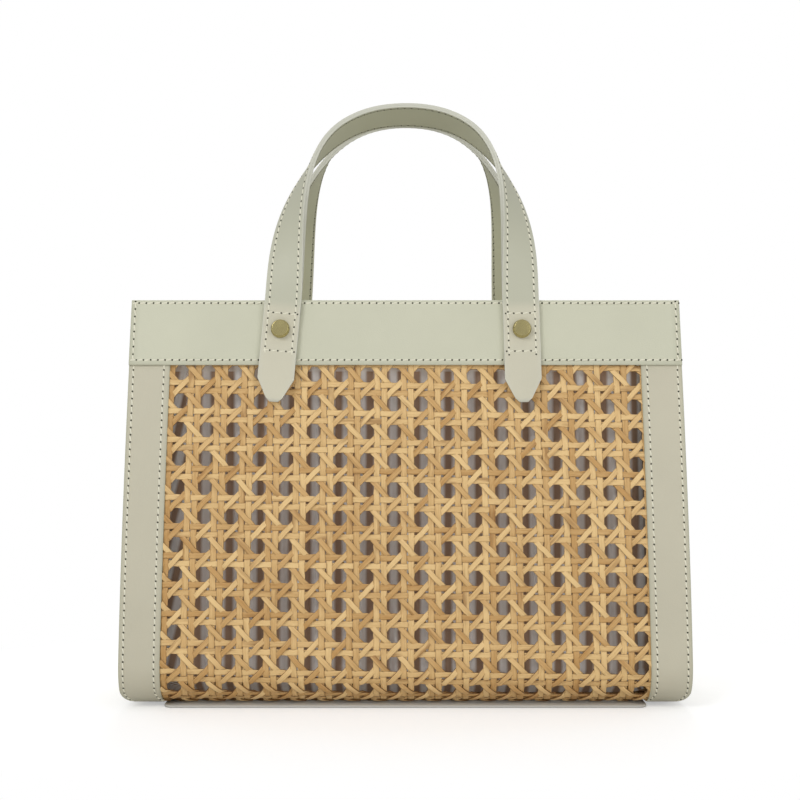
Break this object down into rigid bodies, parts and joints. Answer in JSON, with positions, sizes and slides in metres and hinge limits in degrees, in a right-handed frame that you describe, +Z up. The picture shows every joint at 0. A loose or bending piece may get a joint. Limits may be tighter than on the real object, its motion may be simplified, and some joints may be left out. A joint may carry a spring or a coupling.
{
  "type": "rattan tote bag",
  "caption": "Open tote bag with woven cane front and back, leather trim, folding strap handles with screw studs, and a pleated cloth pouch inside.",
  "frame": {"origin": "on the floor, in the middle of the bag's box", "axes": "+X to the right seen from the front, -Y out of the front, +Z up"},
  "size_m": [0.3122, 0.12, 0.3385],
  "materials": {
    "cane": "woven natural cane, satin",
    "trim_leather": "pale sage, fine grain",
    "body_leather": "pale sage, fine grain",
    "strap_leather": "pale sage, fine grain",
    "lining_leather": "sage, matt back",
    "stud_metal": "polished",
    "pouch_cloth": "pleated cloth"
  },
  "bodies": {
    "bag": {"front_cane_panel": "cane", "front_top_band": "trim_leather", "front_left_edge_strip": "trim_leather", "front_right_edge_strip": "trim_leather", "front_left_strap_end": "strap_leather", "front_left_lining_end": "lining_leather", "front_left_stud": "stud_metal", "front_left_stud_cap": "stud_metal", "front_right_strap_end": "strap_leather", "front_right_lining_end": "lining_leather", "front_right_stud": "stud_metal", "front_right_stud_cap": "stud_metal", "back_cane_panel": "cane", "back_top_band": "trim_leather", "back_left_edge_strip": "trim_leather", "back_right_edge_strip": "trim_leather", "back_left_strap_end": "strap_leather", "back_left_lining_end": "lining_leather", "back_left_stud": "stud_metal", "back_left_stud_cap": "stud_metal", "back_right_strap_end": "strap_leather", "back_right_lining_end": "lining_leather", "back_right_stud": "stud_metal", "back_right_stud_cap": "stud_metal", "left_gusset": "body_leather", "right_gusset": "body_leather", "base_panel": "body_leather", "inner_pouch": "pouch_cloth"},
    "front_handle": {"front_handle_strap": "strap_leather", "front_handle_lining": "lining_leather"},
    "back_handle": {"back_handle_strap": "strap_leather", "back_handle_lining": "lining_leather"}
  },
  "joints": [
    {"name": "front_handle_fold", "type": "hinge", "parent": "bag", "child": "front_handle", "pos_m": [0, -0.04892, 0.2176], "axis": [1, 0, 0], "range_deg": [0, 130]},
    {"name": "back_handle_fold", "type": "hinge", "parent": "bag", "child": "back_handle", "pos_m": [0, 0.04892, 0.2176], "axis": [-1, 0, 0], "range_deg": [0, 130]}
  ]
}
